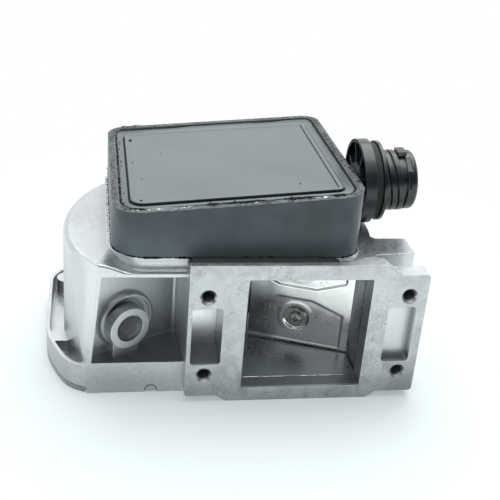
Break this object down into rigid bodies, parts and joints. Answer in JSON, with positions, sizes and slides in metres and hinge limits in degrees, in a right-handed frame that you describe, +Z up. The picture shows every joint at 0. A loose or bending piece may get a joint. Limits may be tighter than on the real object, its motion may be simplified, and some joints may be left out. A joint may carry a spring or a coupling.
{
  "type": "vane air flow meter",
  "caption": "Cast air flow meter with an inlet flange, a sprung measuring flap, a damping chamber, an outlet spigot and a sealed electronics case with a round plug socket.",
  "frame": {"origin": "centre of the inlet flange's bolt pattern, on the flange face", "axes": "-Y out of the inlet, against the flow; +X to the right seen from the inlet; +Z up, towards the electronics case"},
  "size_m": [0.1502, 0.1345, 0.0923],
  "materials": {
    "cast_aluminium": "sand blasted die casting, fine pits",
    "cover_aluminium": "die cast, matt",
    "gasket_rubber": "matt",
    "zinc_steel": "zinc plated",
    "bronze": "plain bearing bronze",
    "screw_steel": "blackened",
    "case_plastic": "glass-filled, dark blue-grey",
    "shell_plastic": "black, satin",
    "seal_rubber": "matt",
    "insert_plastic": "black",
    "pin_tin": "tin plated",
    "lid_plastic": "weathered grey",
    "silicone": "clear grey silicone",
    "board_ceramic": "fired alumina",
    "strip_metal": "stamped strip",
    "wheel_plastic": "natural nylon",
    "spring_steel": "blued strip",
    "probe_plastic": "black",
    "stop_rubber": "matt",
    "shaft_steel": "ground",
    "vane_aluminium": "die cast, air-side grime",
    "arm_metal": "pressed strip"
  },
  "bodies": {
    "housing": {"main_housing": "cast_aluminium", "base_cover": "cover_aluminium", "cover_gasket": "gasket_rubber", "cover_screws": "zinc_steel", "lower_bearing": "bronze", "upper_bearing": "bronze", "mixture_screw": "screw_steel", "electronics_case": "case_plastic", "connector_shell": "shell_plastic", "connector_seal": "seal_rubber", "connector_insert": "insert_plastic", "connector_pins": "pin_tin", "case_lid": "lid_plastic", "lid_sealant": "silicone", "case_sealant": "silicone", "track_board": "board_ceramic", "board_screws": "zinc_steel", "terminal_strips": "strip_metal", "spring_wheel": "wheel_plastic", "wheel_detent": "spring_steel", "detent_screw": "zinc_steel", "return_spring": "spring_steel", "temperature_sensor": "probe_plastic", "flap_stops": "stop_rubber"},
    "rotor": {"rotor_shaft": "shaft_steel", "vane_casting": "vane_aluminium", "vane_pin": "shaft_steel", "measuring_flap": "vane_aluminium", "flap_screws": "zinc_steel", "flap_washers": "zinc_steel", "spring_collar": "bronze", "wiper_arm": "arm_metal", "wiper_contacts": "bronze", "counterweight": "bronze", "shaft_clip": "spring_steel"}
  },
  "joints": [
    {"name": "flap_swing", "type": "hinge", "parent": "housing", "child": "rotor", "pos_m": [-0.023, 0.0435, 0], "axis": [0, 0, 1], "range_deg": [0, 90], "stiffness_Nm_per_rad": 0.006, "springref_deg": -34.38}
  ]
}
